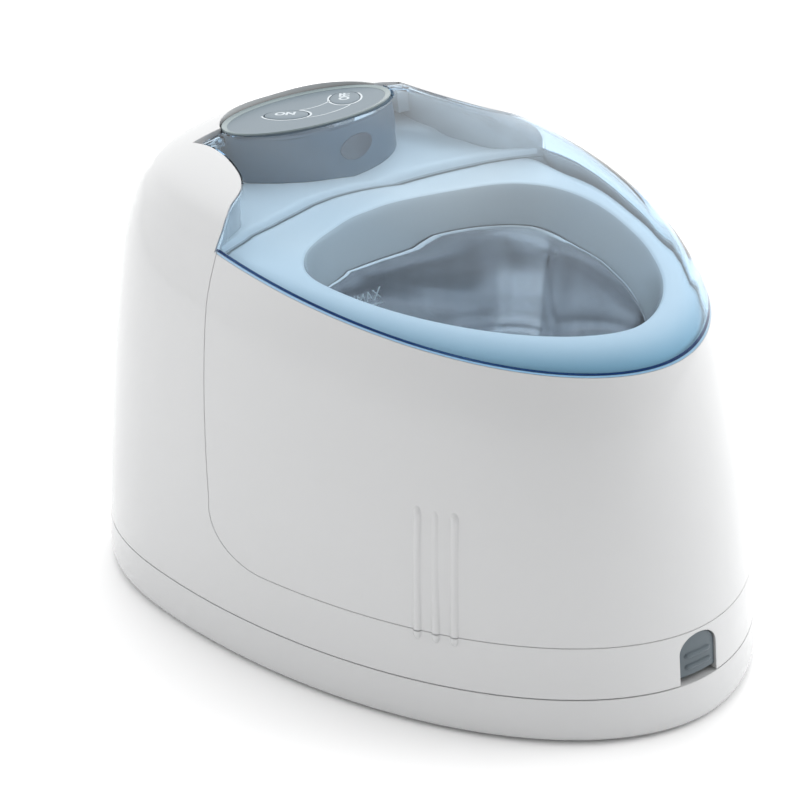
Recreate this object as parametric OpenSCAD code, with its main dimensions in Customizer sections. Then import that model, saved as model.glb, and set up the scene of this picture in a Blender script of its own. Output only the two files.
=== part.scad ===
// Desk-top ultrasonic cleaner for jewellery, with a lift-off tank unit.
// Millimetres, +Z up, the narrow tip toward -Y, the user's side toward +Y.
// Origin: on the table, at the middle of the footprint.

/* [Casing] */
// wall thickness of the white mouldings
wall = 2.5; // [2:0.1:3]
// height of the parting line between base pan and casing
pan_top = 14.2; // [12:0.1:16]
// height of the parting line under the tank unit
skirt_top = 29.8; // [28:0.1:32]
// width of the hairline gap at every parting line
seam = 0.3; // [0.2:0.05:0.4]

/* [Tank] */
// top of the deck round the tank opening
deck_top = 110; // [108:0.5:111]
// top of the deck in front of the control pod
case_deck = 112.8; // [112:0.2:114]
// half width of the tank opening
mouth_half = 48.5; // [44:0.5:50]
// height of the steel tank's floor
tank_floor = 58; // [56:0.5:64]
// thickness of the pressed steel
steel = 0.8; // [0.6:0.1:1.2]

/* [Lid] */
// thickness of the clear lid
lid_wall = 2.0; // [1.6:0.1:2.4]
// gap all round the lid
lid_gap = 0.5; // [0.4:0.05:0.8]
// radius of the lid's hinge barrel
barrel_r = 2.0; // [1.7:0.1:2.1]
// radius of the hinge pin
pin_r = 1.0; // [0.8:0.1:1.1]

/* [Controls] */
// half width of the oval control panel
panel_half = 29.5; // [28:0.5:30]
// half depth of the oval control panel
panel_deep = 17; // [15:0.5:18]
// tilt of the panel toward the user, degrees
panel_tilt = 8; // [4:1:10]
// half length of each oval key
key_half = 6.8; // [6:0.1:7.2]
// half width of each oval key
key_deep = 4.6; // [4:0.1:5]
// play round each key
key_gap = 0.3; // [0.25:0.05:0.5]

/* [Latch] */
// half width of the release latch
latch_half = 6.6; // [5.5:0.1:7]
// height of the latch's lower edge
latch_low = 16.4; // [16:0.1:17]
// height of the latch's arched top
latch_high = 28.4; // [27.5:0.1:28.5]

/* [Feet and screws] */
// radius of each rubber foot
foot_r = 7; // [6:0.5:8]
// radius of each base screw shank
screw_r = 1.5; // [1.2:0.1:1.8]

/* [Hidden] */
$fn = 48;
// points in each outline
N = 60;
// y of the body's widest section
YC = 34.9;
// outline of the body against height: half width, tip, back
WIDTH = [[-10, 85.9], [0, 84.9], [14, 83.6], [31, 82], [56, 78.9], [79, 74.9], [98, 70.3],
    [105, 67.6], [112, 64], [117, 61.3], [122, 56.5], [126, 45], [128, 32], [129.2, 14]];
TIP = [[-10, -108], [0, -106.6], [14, -104.8], [31, -102.5], [56, -98], [79, -92.4], [98, -87.3],
    [105, -84.7], [112, -80.6], [117, -74.1], [122, -59.1], [125, -40], [127.2, -15], [128.4, 8],
    [129.2, 28]];
BACK = [[-10, 103.8], [0, 104], [56, 105.1], [98, 105.5], [112, 104.6], [117, 101.4],
    [122, 96.6], [126, 90.8], [128, 86], [129.2, 78]];
// middle of the lid's hinge axis
HINGE = [0, 73, 124.6];
// middle of the control panel
PANEL = [0, 72, 126.6];
// each key's middle on the panel and the turn of its long axis, degrees
KEYS = [[-7, 1, -54], [15.2, 0.8, 51]];
// middle of the light window
LENS = [5, 53.4, 120];
// heights of the outlines that make the crown, outside and inside
CROWN = [105, 109, 112, 115, 117, 119, 120.5, 122, 123.5, 125, 126, 127, 128, 128.7, 129.2];
CROWN_IN = [105, 109, 112, 115, 117, 119, 120.5, 122, 123.5, 125, 126, 126.5];

function seg(t, z, i = 0) = (i >= len(t) - 2 || z < t[i + 1][0]) ? i : seg(t, z, i + 1);
function slope(t, i) = i == 0 ? (t[1][1] - t[0][1]) / (t[1][0] - t[0][0])
    : i == len(t) - 1 ? (t[i][1] - t[i - 1][1]) / (t[i][0] - t[i - 1][0])
    : (t[i + 1][1] - t[i - 1][1]) / (t[i + 1][0] - t[i - 1][0]);
// smooth curve through a table
function curve(t, z) = let (i = seg(t, z), h = t[i + 1][0] - t[i][0], s = (z - t[i][0]) / h)
    (2 * s * s * s - 3 * s * s + 1) * t[i][1] + (s * s * s - 2 * s * s + s) * h * slope(t, i)
    + (3 * s * s - 2 * s * s * s) * t[i + 1][1] + (s * s * s - s * s) * h * slope(t, i + 1);
function lean(t, z) = let (d = (curve(t, z + 0.3) - curve(t, z - 0.3)) / 0.6) min(7, sqrt(1 + d * d));
function pow_s(v, e) = sign(v) * pow(abs(v), e);
// closed oval: half width a, front length f, back length b, middle y, front and back exponents
function oval(z, a, f, b, yc, ef, eb) = [for (k = [0 : N - 1]) let (u = k * 360 / N, c = cos(u))
    [a * pow_s(sin(u), 2 / (c > 0 ? ef : eb)), yc - (c > 0 ? f : b) * pow_s(c, 2 / (c > 0 ? ef : eb)), z]];
// the body's outline at height z, moved inward by t
function ring(z, t = 0) = oval(z, curve(WIDTH, z) - t * lean(WIDTH, z),
    YC - curve(TIP, z) - t * lean(TIP, z), curve(BACK, z) - YC - t * lean(BACK, z),
    YC, 1.94, 2.4 + 0.45 * min(1, z / 110));
// the tank opening at height z, moved inward by t
function mouth(z, t = 0) = oval(z, mouth_half - t, 74 - t, 29.4 - t, 3, 1.75, 2.2);
function bulge(x) = 45.5 - 0.0034 * x * x;

module loft(r) {
    n = len(r[0]);
    m = len(r);
    polyhedron(points = [for (q = r) each q],
        faces = concat([[for (k = [0 : n - 1]) k]],
            [for (j = [0 : m - 2], k = [0 : n - 1]) [j * n + k, (j + 1) * n + k, j * n + (k + 1) % n]],
            [for (j = [0 : m - 2], k = [0 : n - 1])
                [j * n + (k + 1) % n, (j + 1) * n + k, (j + 1) * n + (k + 1) % n]],
            [[for (k = [n - 1 : -1 : 0]) (m - 1) * n + k]]));
}

module block(x0, x1, y0, y1, z0, z1) {
    translate([x0, y0, z0]) cube([x1 - x0, y1 - y0, z1 - z0]);
}

module rod(x, y, z0, z1, r) {
    translate([x, y, z0]) cylinder(h = z1 - z0, r = r);
}

module cross_rod(x0, x1, y, z, r) {
    translate([x0, y, z]) rotate([0, 90, 0]) cylinder(h = x1 - x0, r = r);
}

// a round bar from one point to another
module bar(a, b, r) {
    d = b - a;
    translate(a) rotate([0, acos(d[2] / norm(d)), atan2(d[1], d[0])]) cylinder(h = norm(d), r = r, $fn = 16);
}

// the space the tank unit stands in, made smaller by g
module dock(g) {
    top = 145;
    rotate([90, 0, 90]) linear_extrude(height = 220, center = true)
        polygon(concat([[-130, skirt_top + g], [-7.3, skirt_top + g]],
            [for (u = [10 : 10 : 90]) [-7.3 + (23.6 - g) * sin(u), 45.5 - (15.7 - g) * cos(u)]],
            [[39.7 - g, top], [-130, top]]));
    translate([0, 0, 42 + g]) linear_extrude(height = top - 42 - g)
        polygon(concat([[54 - g, -100], [-54 + g, -100]],
            [for (x = [-54 : 9 : 54]) [x * (1 - g / 54), bulge(x) - 3 - g]]));
    translate([0, 0, 104 + g]) linear_extrude(height = top - 104 - g)
        polygon(concat([[75, -110], [-75, -110]], [for (x = [-75 : 7.5 : 75]) [x, bulge(x) - g]]));
}

// everything above the lid's lower rim
module above_rim(up = 0) {
    translate([0, 0, 110.2 + up]) rotate([atan(0.075), 0, 0]) block(-110, 110, -160, 160, 0, 60);
}

// plan of the lid's shoulders beside the control pod
module shoulders(d) {
    right = [[72, 32.4], [62, 33.2], [58, 35], [54.5, 37.5], [50, 39.7], [47.2, 42], [44.2, 46.6],
        [41.5, 53.6], [39.4, 61.3], [38.5, 69], [39.2, 76.3]];
    offset(delta = d) polygon(concat([[72, -125]], right,
        [for (k = [len(right) - 1 : -1 : 0]) [-right[k][0], right[k][1]]], [[-72, -125]]));
}

module oval_plan(a, b) {
    translate([0, PANEL[1]]) scale([a, b]) circle(r = 1, $fn = 72);
}

module on_panel() {
    translate(PANEL) rotate([-panel_tilt, 0, 0]) children();
}

// one rib of each flank at z 66 and at z 27: x, y, x, y
RIBS = [[57.5, -50, 61.2, -55.2], [54.7, -54.3, 58.6, -60], [52.2, -59.3, 55.8, -64.6]];

// three low ribs on each flank, between two heights
module ribs(z0, z1) {
    for (s = [-1, 1], q = RIBS) {
        a = [s * (q[2] - (q[2] - q[0]) * (z0 - 27) / 39 - 0.55), q[3] + (q[1] - q[3]) * (z0 - 27) / 39, z0];
        b = [s * (q[2] - (q[2] - q[0]) * (z1 - 27) / 39 - 0.55), q[3] + (q[1] - q[3]) * (z1 - 27) / 39, z1];
        bar(a, b, 0.95);
    }
}

module latch_plan(d) {
    r = latch_half + d;
    translate([-r, latch_low - d]) square([2 * r, latch_high - latch_low - 5 + d]);
    translate([0, latch_high - 5]) scale([r, 5 + d]) circle(r = 1);
}

FEET = [[-42.5, -66.5], [42.5, -66.5], [-60, 62], [60, 62]];
PAN_SCREWS = [[-26, -74], [26, -74], [-40, 89], [40, 89]];
POSTS = [[-52, -12], [52, -12], [-15.8, -71], [15.8, -71]];

// ---------------------------------------------------------------- base unit

module base_pan() color("whitesmoke") {
    difference() {
        union() {
            difference() {
                loft([ring(0.9, 2.4), ring(2, 1), ring(4.2, 0.2), ring(7), ring(pan_top)]);
                loft([ring(5, 5.5), ring(7, 3), ring(pan_top + 1, wall)]);
            }
            for (p = PAN_SCREWS) rod(p[0], p[1], 2.6, 13.4, 4);
            for (x = [-42, 42], y = [44, 78]) rod(x, y, 4, 10.4, 3);
            block(-7, 7, -103.2, -97.8, 11, pan_top);
            block(-9, -7.6, -99, -91, 4, 20);
            block(7.6, 9, -99, -91, 4, 20);
        }
        for (f = FEET) rod(f[0], f[1], 0, 3.6, foot_r + 0.02);
        for (p = PAN_SCREWS) {
            rod(p[0], p[1], 0, 15, screw_r + 0.1);
            rod(p[0], p[1], 0, 5, 3.1);
        }
        for (x = [-24 : 8 : 24]) block(x - 1.2, x + 1.2, 4, 34, 0, 8);
    }
}

module rubber_feet() color("dimgray") {
    for (f = FEET) {
        rod(f[0], f[1], 0, 1, foot_r - 0.6);
        rod(f[0], f[1], 1, 3.6, foot_r);
    }
}

module base_screws() color("silver") {
    for (p = PAN_SCREWS) {
        rod(p[0], p[1], 3.2, 5, 2.8);
        rod(p[0], p[1], 4.9, 24, screw_r);
    }
}

// open-topped cradle for one hinge pin, beside the control pod
module cradle(s) {
    difference() {
        scale([s, 1, 1]) block(34.2, 40, 70.8, 77.2, 116, HINGE[2] - 0.4);
        cross_rod(-50, 50, HINGE[1], HINGE[2], pin_r + 0.06);
    }
}

module rear_casing() color("whitesmoke") {
    for (s = [-1, 1]) cradle(s);
    difference() {
        union() {
            difference() {
                loft([for (z = concat([pan_top + seam, 31, 56, 79, 92], CROWN)) ring(z)]);
                loft([for (z = concat([12, 31, 56, 79, 92], CROWN_IN)) ring(z, wall)]);
            }
            intersection() {
                loft([for (z = CROWN) ring(z, 0.4)]);
                translate([0, 0, case_deck - 2.6]) linear_extrude(height = 25) union() {
                    shoulders(2.2);
                    oval_plan(panel_half + 5, panel_deep + 7.5);
                }
            }
            for (x = [-40, 40]) {
                rod(x, 89, 14.6, 26.4, 4);
                block(x - 1.2, x + 1.2, 89, 98, 14.6, 26.4);
            }
            ribs(26.8, skirt_top - seam / 2);
        }
        dock(0);
        translate([0, 0, case_deck]) linear_extrude(height = 30) {
            shoulders(0);
            oval_plan(panel_half + 0.5, panel_deep + 0.5);
        }
        rod(0, 78, 105, 115, 5);
        for (x = [-40, 40]) rod(x, 89, 14, 25, screw_r - 0.02);
        translate([0, -90, 0]) rotate([90, 0, 0]) linear_extrude(height = 30) {
            latch_plan(0.35);
            translate([-latch_half - 0.35, 10]) square([2 * latch_half + 0.7, 10]);
        }
        block(-32.4, -7.6, 90, 120, 19.6, 34.4);
    }
}

module dock_frame() color("whitesmoke") {
    difference() {
        union() {
            intersection() {
                loft([for (z = [27.2, 31, 56, 79, 92, 105, case_deck - 2.9]) ring(z, wall + 0.3)]);
                dock(-2.2);
            }
            for (x = [-26, 26]) rod(x, -74, 14.6, 28.5, 4);
        }
        dock(0);
        for (x = [-26, 26]) rod(x, -74, 14, 25, screw_r - 0.02);
        block(-14.3, 14.3, -22.3, -7.7, 20, 40);
        block(-10, 10, -120, -91.6, 20, 40);
    }
}

// outside of the control pod
module pod_outside() {
    intersection() {
        loft([oval(case_deck + 0.1, 30.3, 19.7, 18, PANEL[1], 2, 2),
            oval(117, 30, 18.6, 17.6, PANEL[1], 2, 2),
            oval(129, 29.4, 16.8, 16.8, PANEL[1], 2, 2)]);
        linear_extrude(height = 140) {
            oval_plan(panel_half + 0.4, panel_deep + 0.4);
            translate([-40, 40]) square([80, 36]);
        }
    }
}

// inside of the control pod, its wall made thicker by t
module pod_inside(t) {
    loft([oval(case_deck - 1, 28.3 - t, 17.7 - t, 15.6 - t, PANEL[1], 2, 2),
        oval(117, 28 - t, 16.6 - t, 15.6 - t, PANEL[1], 2, 2),
        oval(130, 27.4 - t, 14.8 - t, 14.8 - t, PANEL[1], 2, 2)]);
}

module control_pod() color("slategray") {
    difference() {
        pod_outside();
        pod_inside(0);
        on_panel() translate([-50, -50, -1.1]) cube([100, 100, 20]);
        lens_shape(0.05, 12);
    }
}

// the oval window's body, looking toward the tip
module lens_shape(d, deep) {
    translate(LENS) rotate([90, 0, -6]) scale([6 + d, 2.8 + d, 1])
        translate([0, 0, -deep / 2]) cylinder(h = deep, r = 1);
}

module light_lens() color("darkslategray") {
    difference() {
        intersection() {
            lens_shape(0, 12);
            pod_outside();
        }
        pod_inside(0.5);
    }
}

module light_led() color("white") {
    translate([5, 59.4, 120]) rotate([90, 0, 0]) cylinder(h = 2.6, r = 1.5);
    block(3.4, 6.6, 59.2, 60.2, 117.8, 121.4);
}

module panel_overlay() color("slategray") {
    on_panel() difference() {
        union() {
            translate([0, 0, -1]) scale([panel_half, panel_deep, 1]) cylinder(h = 1.6, r = 1, $fn = 72);
            difference() {
                translate([0, 0, -1]) scale([panel_half, panel_deep, 1]) cylinder(h = 2.1, r = 1, $fn = 72);
                scale([panel_half - 1.1, panel_deep - 1.1, 1]) cylinder(h = 3, r = 1, $fn = 72);
            }
        }
        for (key = KEYS) key_plan(key, key_gap, -3, 6);
    }
}

// an upright oval prism with a key's outline, grown by d, on the panel
module key_plan(key, d, low, high) {
    translate([key[0], key[1], low]) rotate(key[2]) scale([key_half + d, key_deep + d, 1])
        cylinder(h = high, r = 1, $fn = 60);
}

module key_cap(key) {
    on_panel() {
        key_plan(key, 0, -0.6, 1.5);
        translate([key[0], key[1], -4.6]) cylinder(h = 4.2, r = 1.6);
    }
}

module key_on() color("slategray") key_cap(KEYS[0]);

module key_off() color("slategray") key_cap(KEYS[1]);

module control_board() color("darkgreen") {
    on_panel() translate([-21, -9, -10]) cube([42, 18, 1.4]);
    for (x = [-17, 17]) rod(x, 72, case_deck + 0.1, 117, 1.8);
}

module tact_switches() color("black") {
    for (key = KEYS) on_panel() {
        translate([key[0] - 3, key[1] - 3, -8.5]) cube([6, 6, 2.4]);
        translate([key[0], key[1], -6.2]) cylinder(h = 0.8, r = 1.4);
    }
}

module latch_button() color("slategray") {
    intersection() {
        loft([ring(14, 0.7), ring(22, 0.7), ring(31, 0.7)]);
        translate([0, -92, 0]) rotate([90, 0, 0]) linear_extrude(height = 30) latch_plan(0);
        block(-20, 20, -120, -98.6, 10, 40);
    }
    for (z = [19, 22.4]) translate([0, -103.35 + (z - 19) * 0.135, z]) rotate([0, 90, 0])
        scale([1, 1.1, 1]) cylinder(h = 9.6, r = 0.8, center = true, $fn = 24);
    block(-5.4, 5.4, -99, -92.6, 16.8, 26.4);
}

module latch_spring() color("silver") {
    for (k = [0 : 4]) translate([0, -95, 7 + 1.8 * k])
        rotate_extrude() translate([2.1, 0]) circle(r = 0.4, $fn = 16);
    rod(0, -95, 5.1, 6.2, 2.6);
    rod(0, -95, 5.1, 8, 1.2);
}

module inlet_socket() color("black") {
    difference() {
        union() {
            block(-32, -8, 88, 103.2, 20, 34);
            block(-33.6, -6.4, 96.6, 98.2, 18.4, 35.6);
        }
        for (x = [-24, -16]) translate([x, 94, 27]) rotate([-90, 0, 0]) cylinder(h = 12, r = 4.4);
        block(-24, -16, 94, 108, 22.8, 31.2);
        for (x = [-24, -16]) translate([x, 86, 27]) rotate([-90, 0, 0]) cylinder(h = 9, r = 1.2);
    }
}

module inlet_pins() color("gold") {
    for (x = [-24, -16]) translate([x, 84, 27]) rotate([-90, 0, 0]) cylinder(h = 17, r = 1.15);
}

module power_board() color("darkgreen") {
    difference() {
        block(-46, 46, 40, 82, 10.5, 12.1);
        for (x = [-42, 42], y = [44, 78]) rod(x, y, 9, 14, 1.5);
    }
}

module transformer() color("goldenrod") {
    block(-13, 13, 52, 74, 12.2, 15);
    block(-12, 12, 56, 70, 15, 34);
    block(-8, 8, 53, 73, 18, 31);
}

module capacitors() color("royalblue") {
    rod(24, 49, 12.2, 33, 6);
    rod(37, 51, 12.2, 26, 5);
    rod(24, 66, 12.2, 24, 4);
}

module heatsink() color("silver") {
    block(31, 33, 58, 74, 12.2, 34);
    for (y = [58, 62.6, 67.3, 72]) block(33, 40, y, y + 2, 12.2, 34);
}

module fuse() color("silver") {
    cross_rod(-38, -18, 48, 17, 2.5);
    for (x = [-36, -23]) block(x, x + 3, 45, 51, 12.2, 17);
}

module docking_socket() color("black") {
    difference() {
        block(-14, 14, -22, -8, 20.4, 29.2);
        for (x = [-8, 0, 8]) block(x - 1.8, x + 1.8, -18.2, -11.8, 22.6, 34);
    }
}

module base_wiring() color("firebrick") {
    for (x = [-24, -16]) {
        block(x - 1.3, x + 1.3, 79, 83.9, 25.7, 28.3);
        block(x - 1.3, x + 1.3, 79, 81.4, 12.2, 28.3);
    }
    block(-3, 3, -15.2, -12.8, 14.4, 20.3);
    block(-3, 3, -15.2, 43.4, 14.4, 16.4);
    block(-3, 3, 41.4, 43.4, 12.2, 16.4);
    block(-3.5, 3.5, 77.4, 78.6, 12.2, 115.4);
}

// ---------------------------------------------------------------- tank unit

module front_shell() color("whitesmoke") {
    difference() {
        intersection() {
            loft([for (z = [29, 31, 56, 79, 92, 105, 109, 112, 115, 117]) ring(z)]);
            dock(seam / 2);
        }
        loft([for (z = [28, 31, 56, 79, 92, 105, 109, 112, 115, 118]) ring(z, wall)]);
        above_rim();
    }
    ribs(skirt_top + seam / 2, 66);
}

module tank_deck() color("white") {
    difference() {
        union() {
            difference() {
                intersection() {
                    loft([ring(100, 3), ring(103, 3), ring(106.5, 4), ring(108.6, 5.6),
                        ring(deck_top, 8.6)]);
                    dock(0.3);
                }
                intersection() {
                    loft([ring(98, 5), ring(103.4, 5), ring(106.6, 7), ring(deck_top - 2.2, 10)]);
                    dock(2.5);
                }
            }
            loft([mouth(97.2, 1.2), mouth(104, -0.6), mouth(deck_top - 1, -3)]);
            loft([mouth(96.12, 2.75), mouth(98, 2.75)]);
            for (p = POSTS) rod(p[0], p[1], skirt_top + 2.55, deck_top - 4, 3.4);
        }
        loft([mouth(96, 3.7), mouth(97.1, 3.6), mouth(106, 1.2), mouth(deck_top - 0.7, 0.1),
            mouth(deck_top - 0.2, -0.3), mouth(deck_top + 0.1, -1.2)]);
        for (p = POSTS) rod(p[0], p[1], 30, 46, 1.28);
    }
}

module tank_gasket() color("dimgray") {
    difference() {
        loft([mouth(96.2, 1.4), mouth(97, 1.4)]);
        loft([mouth(96, 2.65), mouth(97.2, 2.65)]);
    }
}

module steel_tank() color("silver") {
    difference() {
        union() {
            loft([mouth(95.2, -0.5), mouth(96, -0.5)]);
            loft([mouth(tank_floor, 16), mouth(tank_floor + 1, 11.5), mouth(tank_floor + 3.5, 8.2),
                mouth(tank_floor + 9, 5.8), mouth(95.6, 3.2)]);
        }
        loft([mouth(tank_floor + steel, 16.4), mouth(tank_floor + 1.8, 12.3), mouth(tank_floor + 4, 9.1),
            mouth(tank_floor + 9.2, 6.6), mouth(97, 4)]);
    }
}

module tank_tub() color("whitesmoke") {
    difference() {
        intersection() {
            loft([for (z = [29, 31, 56, 79, 92, 99.6]) ring(z, wall + 0.45)]);
            dock(seam / 2);
        }
        intersection() {
            loft([for (z = [skirt_top + 2.5, 56, 79, 92, 105]) ring(z, wall + 2.4)]);
            dock(2.4);
        }
        for (p = POSTS) {
            rod(p[0], p[1], 20, 60, 1.4);
            rod(p[0], p[1], 20, 31.3, 2.9);
        }
        block(-12.3, 12.3, -20.3, -9.7, 25, 40);
    }
}

module tank_screws() color("silver") {
    for (p = POSTS) {
        rod(p[0], p[1], 30.2, 31.25, 2.6);
        rod(p[0], p[1], 31.2, 44, 1.25);
    }
}

module docking_plug() color("black") {
    block(-12, 12, -20, -10, 30.2, 36);
    for (x = [-8, 0, 8]) block(x - 1.2, x + 1.2, -17.4, -12.6, 23.4, 30.4);
}

module transducer_horn() color("silver") rod(0, -10, 50.8, tank_floor - 0.1, 17);

module piezo_rings() color("tan") {
    for (z = [44.6, 47.9]) difference() {
        rod(0, -10, z, z + 2.6, 13);
        rod(0, -10, z - 1, z + 4, 5);
    }
}

module electrodes() color("gold") {
    for (z = [44.2, 47.4, 50.5]) difference() {
        union() {
            rod(0, -10, z, z + 0.3, 13.4);
            block(-2, 2, -28, -20, z, z + 0.3);
        }
        rod(0, -10, z - 1, z + 2, 5);
    }
}

module back_mass() color("gray") {
    difference() {
        rod(0, -10, 38.6, 44.1, 13);
        rod(0, -10, 37, 46, 3.6);
    }
}

module transducer_bolt() color("dimgray") {
    rod(0, -10, 37.2, 38.5, 4.6);
    rod(0, -10, 38.4, 50.7, 3.2);
}

module tank_wiring() color("firebrick") {
    block(-9, -7, -27, -17, 36.1, 38);
    block(-9, -7, -27, -25, 36.1, 44.1);
    block(-9, -1, -27, -25, 42.1, 44.1);
    block(7, 9, -27, -17, 36.1, 38);
    block(7, 9, -27, -25, 36.1, 47.3);
    block(1, 9, -27, -25, 45.4, 47.3);
}

// ---------------------------------------------------------------- lid

module lid_shell() color("lightskyblue", 0.45) {
    difference() {
        union() {
            difference() {
                intersection() {
                    loft([for (z = concat([98], CROWN)) ring(z, 0.02)]);
                    above_rim(seam);
                    translate([0, 0, 98]) linear_extrude(height = 40) shoulders(-lid_gap);
                }
                loft([for (z = [96, 101, 105, 109, 112, 115, 117, 119, 120.5, 122, 123.5, 125, 126, 127])
                    ring(z, lid_wall)]);
                linear_extrude(height = 140) oval_plan(panel_half + 0.8, panel_deep + 1);
                block(-60, 60, HINGE[1], 90, 90, 140);
            }
            intersection() {
                loft([for (z = [115, 119, 122, 125, 126, 127, 128]) ring(z, 0.3)]);
                for (x = [-33.6, 31.2]) cross_rod(x, x + 2.4, HINGE[1], HINGE[2], barrel_r);
            }
        }
        for (x = [-33.7, 31.9]) cross_rod(x, x + 1.8, HINGE[1], HINGE[2], pin_r);
    }
}

module hinge_pins() color("silver") {
    for (x = [-37.6, 31.9]) cross_rod(x, x + 5.7, HINGE[1], HINGE[2], pin_r);
}

base_pan();
rubber_feet();
base_screws();
rear_casing();
dock_frame();
control_pod();
light_lens();
light_led();
panel_overlay();
key_on();
key_off();
control_board();
tact_switches();
latch_button();
latch_spring();
inlet_socket();
inlet_pins();
power_board();
transformer();
capacitors();
heatsink();
fuse();
docking_socket();
base_wiring();
front_shell();
tank_deck();
tank_gasket();
steel_tank();
tank_tub();
tank_screws();
docking_plug();
transducer_horn();
piezo_rings();
electrodes();
back_mass();
transducer_bolt();
tank_wiring();
lid_shell();
hinge_pins();
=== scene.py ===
# Ultrasonic cleaner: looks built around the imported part.
# Shapes are written in millimetres and made in metres.
import bmesh
import bpy
import math
import numpy as np
from mathutils import Matrix, Vector


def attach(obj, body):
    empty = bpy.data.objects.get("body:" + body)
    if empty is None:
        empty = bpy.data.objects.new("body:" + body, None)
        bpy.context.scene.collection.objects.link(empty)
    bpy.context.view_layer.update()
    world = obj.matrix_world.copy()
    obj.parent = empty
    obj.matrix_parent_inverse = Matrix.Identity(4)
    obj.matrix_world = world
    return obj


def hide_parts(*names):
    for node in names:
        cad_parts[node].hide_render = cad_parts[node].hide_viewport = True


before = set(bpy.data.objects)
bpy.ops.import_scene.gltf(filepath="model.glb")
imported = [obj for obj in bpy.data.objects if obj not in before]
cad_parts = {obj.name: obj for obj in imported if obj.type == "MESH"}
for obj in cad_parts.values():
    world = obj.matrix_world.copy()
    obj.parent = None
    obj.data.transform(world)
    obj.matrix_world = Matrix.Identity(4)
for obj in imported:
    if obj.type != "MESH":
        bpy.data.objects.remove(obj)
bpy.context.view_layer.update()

# ---------------------------------------------------------------- shape of the body
# YC is where the body is widest. WIDTH, TIP and BACK give its half width and its two ends by height.
YC = 34.9
WIDTH = [(-10, 85.9), (0, 84.9), (14, 83.6), (31, 82), (56, 78.9), (79, 74.9), (98, 70.3), (105, 67.6),
         (112, 64), (117, 61.3), (122, 56.5), (126, 45), (128, 32), (129.2, 14)]
TIP = [(-10, -108), (0, -106.6), (14, -104.8), (31, -102.5), (56, -98), (79, -92.4), (98, -87.3),
       (105, -84.7), (112, -80.6), (117, -74.1), (122, -59.1), (125, -40), (127.2, -15), (128.4, 8),
       (129.2, 28)]
BACK = [(-10, 103.8), (0, 104), (56, 105.1), (98, 105.5), (112, 104.6), (117, 101.4), (122, 96.6),
        (126, 90.8), (128, 86), (129.2, 78)]
# middles of the hinge line, of the tilted control panel and of the dark window in the pod
HINGE = (0, 73, 124.6)
PANEL = (0, 72, 126.6)
TILT = math.radians(8)
LENS = (5, 53.4, 120)
# heights of the casing's deck, of the skirt's top and of the pan's top
CASE_DECK, SKIRT, PAN = 112.8, 29.8, 14.2
# the lid's lower rim rises towards the back
RIM_HIGH, RIM_SLOPE = 110.2, 0.075


def curve(table, z):
    """Smooth curve through a table of (height, value)."""
    t = np.array(table, float)
    x, y = t[:, 0], t[:, 1]
    m = np.empty(len(x))
    m[0], m[-1] = (y[1] - y[0]) / (x[1] - x[0]), (y[-1] - y[-2]) / (x[-1] - x[-2])
    m[1:-1] = (y[2:] - y[:-2]) / (x[2:] - x[:-2])
    i = int(np.clip(np.searchsorted(x, z, side="right") - 1, 0, len(x) - 2))
    h = x[i + 1] - x[i]
    s = (z - x[i]) / h
    return ((2 * s**3 - 3 * s**2 + 1) * y[i] + (s**3 - 2 * s**2 + s) * h * m[i]
            + (3 * s**2 - 2 * s**3) * y[i + 1] + (s**3 - s**2) * h * m[i + 1])


def lean(table, z):
    """How much further a wall reaches sideways than through its thickness, where it leans."""
    return min(7.0, math.hypot(1, (curve(table, z + 0.3) - curve(table, z - 0.3)) / 0.6))


def oval(z, a, f, b, yc, ef, eb, n=288):
    """An egg-shaped outline: half width a, f in front of yc and b behind it, with exponents ef and eb."""
    u = 2 * math.pi * np.arange(n) / n
    c, s = np.cos(u), np.sin(u)
    e = np.where(c > 0, ef, eb)
    x = a * np.sign(s) * np.abs(s) ** (2 / e)
    y = yc - np.where(c > 0, f, b) * np.sign(c) * np.abs(c) ** (2 / e)
    return np.stack([x, y, np.full(n, float(z))], 1)


def ring(z, t=0.0):
    """The body's outline at a height, moved inward by t."""
    return oval(z, curve(WIDTH, z) - t * lean(WIDTH, z), YC - curve(TIP, z) - t * lean(TIP, z),
                curve(BACK, z) - YC - t * lean(BACK, z), YC, 1.94, 2.4 + 0.45 * min(1, z / 110))


def mouth(z, t=0.0):
    """The tank opening's outline at a height, moved inward by t."""
    return oval(z, 48.5 - t, 74 - t, 29.4 - t, 3, 1.75, 2.2)


def pod(z, t=0.0):
    """The control pod's outline at a height, moved inward by t."""
    s = min(1.1, max(0.0, (z - 112.9) / 16.1))
    return oval(z, 30.3 - 0.9 * s - t, 19.7 - 2.9 * s**0.75 - t, 18 - 1.2 * s - t, PANEL[1], 2, 2)


def steps(a, b, step):
    """Even steps from a to b, close to the length asked for."""
    return list(np.linspace(a, b, max(2, int(round(abs(b - a) / step)) + 1)))


def dome(r, rise, n=6):
    """Rings that close a top softly over the ring r."""
    mid = r.mean(0)
    out = []
    for k in range(1, n):
        s = 1 - k / n
        q = mid + (r - mid) * s
        q[:, 2] = r[0, 2] + rise * (1 - s * s)
        out.append(q)
    return out


def crown(z0, top, t=0.0, rise=0.45):
    """Rings from z0 up over the body's crown."""
    zs = steps(z0, 105, 2.4)[:-1] if z0 < 105 else []
    zs += steps(max(z0, 105), 119, 1.2)[:-1]
    zs += steps(119, 127, 0.6)[:-1] if top > 127 else steps(119, top, 0.6)
    zs += steps(127, top, 0.2) if top > 127 else []
    rings = [ring(z, t) for z in zs]
    return rings + dome(rings[-1], rise)


# ---------------------------------------------------------------- mesh helpers
def mesh(name, points, faces):
    """A new object from points in millimetres and lists of their numbers."""
    me = bpy.data.meshes.new(name)
    me.from_pydata((np.asarray(points, float) / 1000).tolist(), [], faces)
    me.validate()
    o = bpy.data.objects.new(name, me)
    bpy.context.scene.collection.objects.link(o)
    return o


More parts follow.
